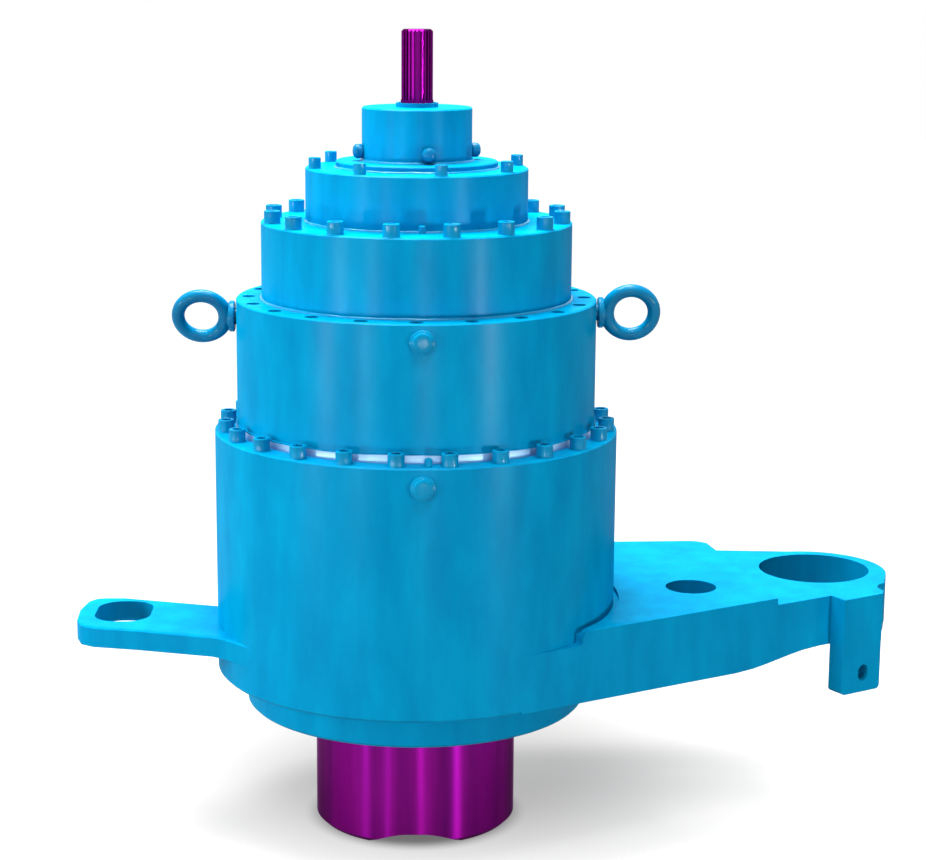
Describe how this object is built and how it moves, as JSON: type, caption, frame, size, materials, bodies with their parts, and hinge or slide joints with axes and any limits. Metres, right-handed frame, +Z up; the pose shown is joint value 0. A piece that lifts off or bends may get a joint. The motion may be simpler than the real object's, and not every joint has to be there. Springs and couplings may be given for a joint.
{
  "type": "planetary gearbox",
  "caption": "Stepped three-stage planetary gearbox with torque arm, slotted ear and lifting eyes; spline input shaft on top, plain output shaft below.",
  "frame": {"origin": "centre of the output shaft's end face, which the gearbox stands on", "axes": "+Z up along the gear axis to the input shaft, +X towards the torque arm, -Y towards the viewer of the picture"},
  "size_m": [1.2657, 0.6302, 1.194],
  "materials": {
    "paint": "gloss enamel, cyan blue, over cast iron",
    "painted_screws": "gloss enamel over steel",
    "shaft_coating": "purple metallic protective coating on ground steel",
    "gear_steel": "ground tooth flanks",
    "carrier_iron": "turned cast iron",
    "bearing_steel": "ground and polished",
    "bronze": "turned bearing bronze",
    "seal_rubber": "matt nitrile rubber"
  },
  "bodies": {
    "housing": {"output_housing": "paint", "output_seal_cover": "paint", "output_seal": "seal_rubber", "output_outer_races": "bearing_steel", "ring_gear_3": "paint", "ring_gear_2": "paint", "ring_gear_1": "paint", "input_bearing_housing": "paint", "input_seal_collar": "paint", "input_seal": "seal_rubber", "input_outer_races": "bearing_steel", "lower_screws": "painted_screws", "middle_screws": "painted_screws", "upper_screws": "painted_screws", "sunk_screws": "painted_screws", "cover_screws": "painted_screws", "eye_bolts": "paint", "oil_plugs": "paint", "input_plugs": "paint"},
    "output": {"output_shaft": "shaft_coating", "output_inner_races": "bearing_steel", "bearing_spacer": "carrier_iron", "shaft_nut": "carrier_iron", "carrier_3": "carrier_iron", "planet_pins_3": "bearing_steel", "planet_bushes_3": "bronze"},
    "output_roller_set": {"output_rollers": "bearing_steel"},
    "second_stage": {"sun_3": "gear_steel", "carrier_2": "carrier_iron", "planet_pins_2": "bearing_steel", "planet_bushes_2": "bronze"},
    "first_stage": {"sun_2": "gear_steel", "carrier_1": "carrier_iron", "planet_pins_1": "bearing_steel", "planet_bushes_1": "bronze"},
    "input": {"input_shaft": "shaft_coating", "sun_1": "gear_steel", "input_inner_races": "bearing_steel"},
    "input_roller_set": {"input_rollers": "bearing_steel"},
    "planet_3a": {"planet_3a": "gear_steel"},
    "planet_3b": {"planet_3b": "gear_steel"},
    "planet_3c": {"planet_3c": "gear_steel"},
    "planet_2a": {"planet_2a": "gear_steel"},
    "planet_2b": {"planet_2b": "gear_steel"},
    "planet_2c": {"planet_2c": "gear_steel"},
    "planet_1a": {"planet_1a": "gear_steel"},
    "planet_1b": {"planet_1b": "gear_steel"},
    "planet_1c": {"planet_1c": "gear_steel"}
  },
  "joints": [
    {"name": "output_spin", "type": "hinge", "parent": "housing", "child": "output", "pos_m": [0, 0, 0.1], "axis": [0, 0, 1], "continuous": true},
    {"name": "output_roller_spin", "type": "hinge", "parent": "housing", "child": "output_roller_set", "pos_m": [0, 0, 0.4], "axis": [0, 0, 1], "continuous": true},
    {"name": "second_stage_spin", "type": "hinge", "parent": "housing", "child": "second_stage", "pos_m": [0, 0, 0.7], "axis": [0, 0, 1], "continuous": true},
    {"name": "first_stage_spin", "type": "hinge", "parent": "housing", "child": "first_stage", "pos_m": [0, 0, 0.85], "axis": [0, 0, 1], "continuous": true},
    {"name": "input_spin", "type": "hinge", "parent": "housing", "child": "input", "pos_m": [0, 0, 1.1], "axis": [0, 0, 1], "continuous": true},
    {"name": "input_roller_spin", "type": "hinge", "parent": "housing", "child": "input_roller_set", "pos_m": [0, 0, 1.03], "axis": [0, 0, 1], "continuous": true},
    {"name": "planet_3a_spin", "type": "hinge", "parent": "output", "child": "planet_3a", "pos_m": [0.135, 0, 0.672], "axis": [0, 0, 1], "continuous": true},
    {"name": "planet_3b_spin", "type": "hinge", "parent": "output", "child": "planet_3b", "pos_m": [-0.0675, 0.11691, 0.672], "axis": [0, 0, 1], "continuous": true},
    {"name": "planet_3c_spin", "type": "hinge", "parent": "output", "child": "planet_3c", "pos_m": [-0.0675, -0.11691, 0.672], "axis": [0, 0, 1], "continuous": true},
    {"name": "planet_2a_spin", "type": "hinge", "parent": "second_stage", "child": "planet_2a", "pos_m": [0.108, 0, 0.841], "axis": [0, 0, 1], "continuous": true},
    {"name": "planet_2b_spin", "type": "hinge", "parent": "second_stage", "child": "planet_2b", "pos_m": [-0.054, 0.09353, 0.841], "axis": [0, 0, 1], "continuous": true},
    {"name": "planet_2c_spin", "type": "hinge", "parent": "second_stage", "child": "planet_2c", "pos_m": [-0.054, -0.09353, 0.841], "axis": [0, 0, 1], "continuous": true},
    {"name": "planet_1a_spin", "type": "hinge", "parent": "first_stage", "child": "planet_1a", "pos_m": [0.07425, 0, 0.941], "axis": [0, 0, 1], "continuous": true},
    {"name": "planet_1b_spin", "type": "hinge", "parent": "first_stage", "child": "planet_1b", "pos_m": [-0.03712, 0.0643, 0.941], "axis": [0, 0, 1], "continuous": true},
    {"name": "planet_1c_spin", "type": "hinge", "parent": "first_stage", "child": "planet_1c", "pos_m": [-0.03712, -0.0643, 0.941], "axis": [0, 0, 1], "continuous": true}
  ],
  "couplings": [
    {"joint": "output_roller_spin", "follows": "output_spin", "ratio": 0.45455},
    {"joint": "second_stage_spin", "follows": "output_spin", "ratio": 4.5},
    {"joint": "first_stage_spin", "follows": "output_spin", "ratio": 20.25},
    {"joint": "input_spin", "follows": "output_spin", "ratio": 91.125},
    {"joint": "input_roller_spin", "follows": "output_spin", "ratio": 38.174},
    {"joint": "planet_3a_spin", "follows": "output_spin", "ratio": -2.8},
    {"joint": "planet_3b_spin", "follows": "output_spin", "ratio": -2.8},
    {"joint": "planet_3c_spin", "follows": "output_spin", "ratio": -2.8},
    {"joint": "planet_2a_spin", "follows": "output_spin", "ratio": -12.6},
    {"joint": "planet_2b_spin", "follows": "output_spin", "ratio": -12.6},
    {"joint": "planet_2c_spin", "follows": "output_spin", "ratio": -12.6},
    {"joint": "planet_1a_spin", "follows": "output_spin", "ratio": -56.7},
    {"joint": "planet_1b_spin", "follows": "output_spin", "ratio": -56.7},
    {"joint": "planet_1c_spin", "follows": "output_spin", "ratio": -56.7}
  ]
}
